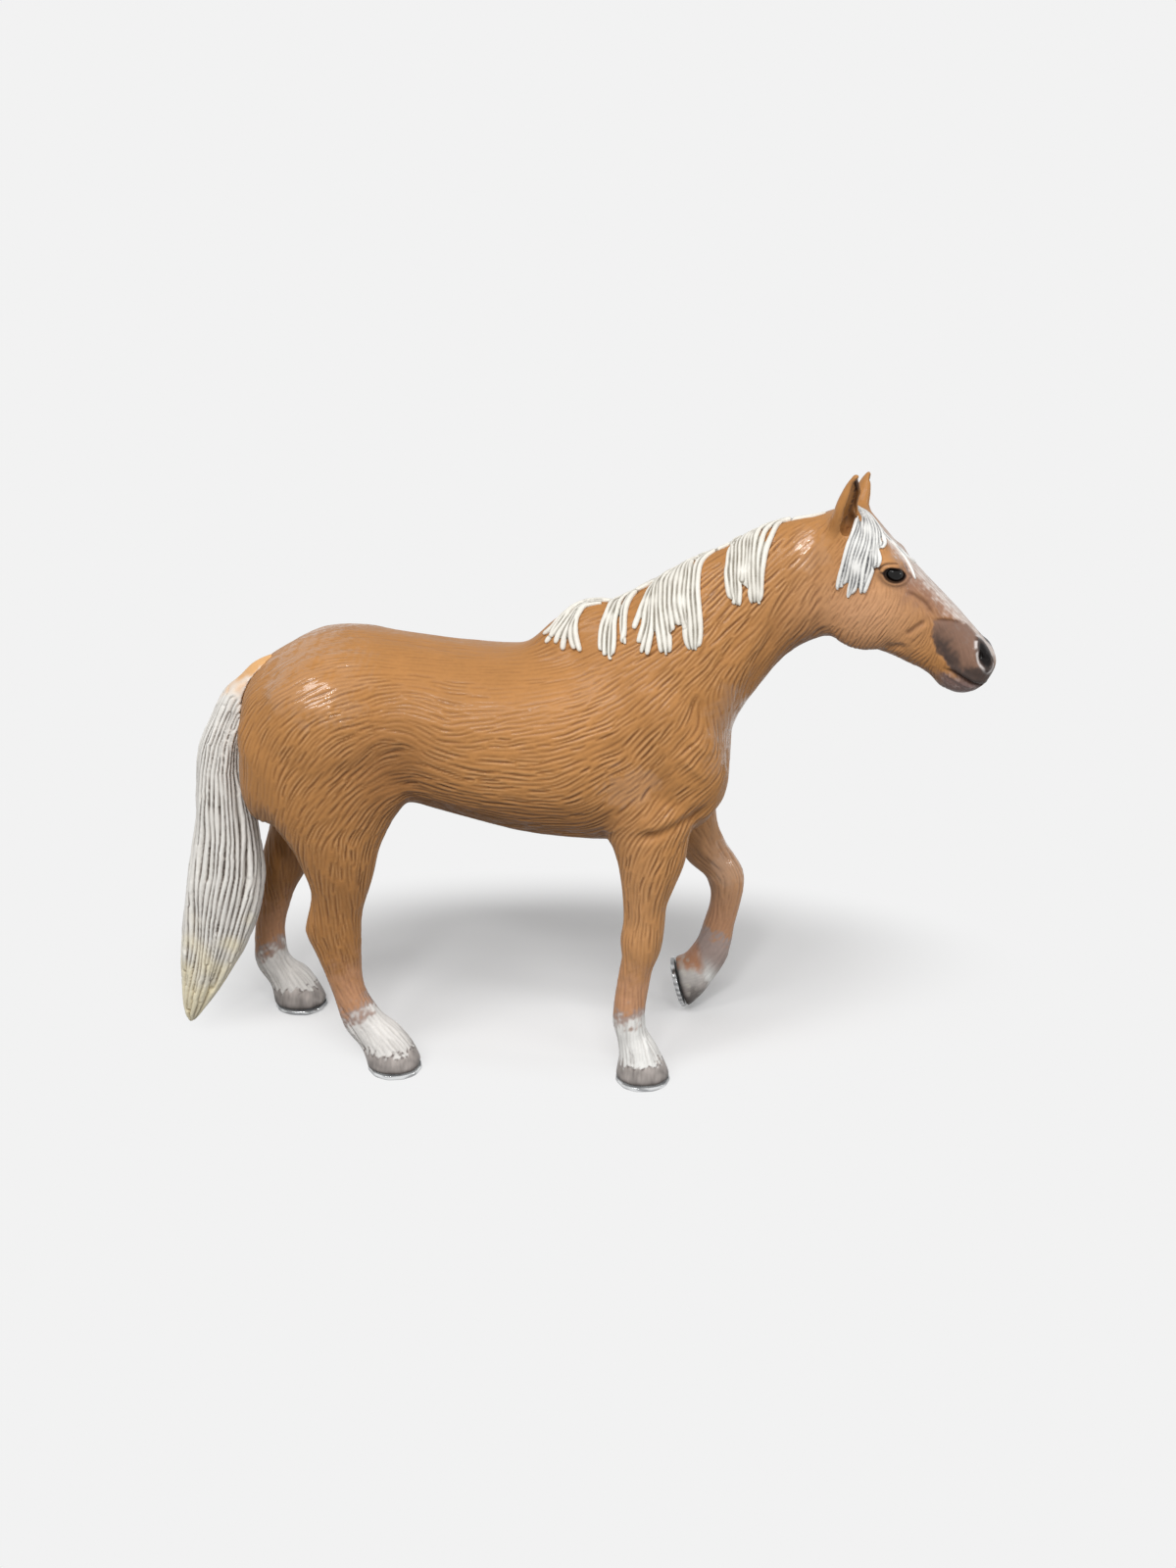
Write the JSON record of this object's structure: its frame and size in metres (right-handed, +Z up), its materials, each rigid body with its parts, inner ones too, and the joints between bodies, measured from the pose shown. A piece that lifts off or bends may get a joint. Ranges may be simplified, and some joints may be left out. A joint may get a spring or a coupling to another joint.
{
  "type": "toy horse figure",
  "caption": "Hand-painted moulded plastic horse in a slow walk, head turned a little to the right and the left fore leg lifted, standing by itself.",
  "frame": {"origin": "on the surface that the figure stands on, below the middle of its whole box", "axes": "+X towards the nose, +Y to the horse's left, +Z up"},
  "size_m": [0.1364, 0.0354, 0.1056],
  "materials": {
    "coat": "satin paint over moulded hair, caramel with darker wash in the grooves, white pasterns, grey hooves and muzzle",
    "hair": "satin off-white paint with grey wash between the strands",
    "tail_hair": "satin off-white paint turning cream at the tip",
    "eye": "gloss black",
    "pad": "thin glossy silvery clear edge",
    "core": "unpainted"
  },
  "bodies": {
    "root": {"trunk_right_shell": "coat", "trunk_left_shell": "coat", "body_core": "core", "head": "coat", "eye_right": "eye", "eye_left": "eye", "mane": "hair", "forelock": "hair", "tail": "tail_hair", "fore_leg_right": "coat", "fore_leg_left": "coat", "hind_leg_right": "coat", "hind_leg_left": "coat", "fore_pad_right": "pad", "fore_pad_left": "pad", "hind_pad_right": "pad", "hind_pad_left": "pad"}
  },
  "joints": []
}
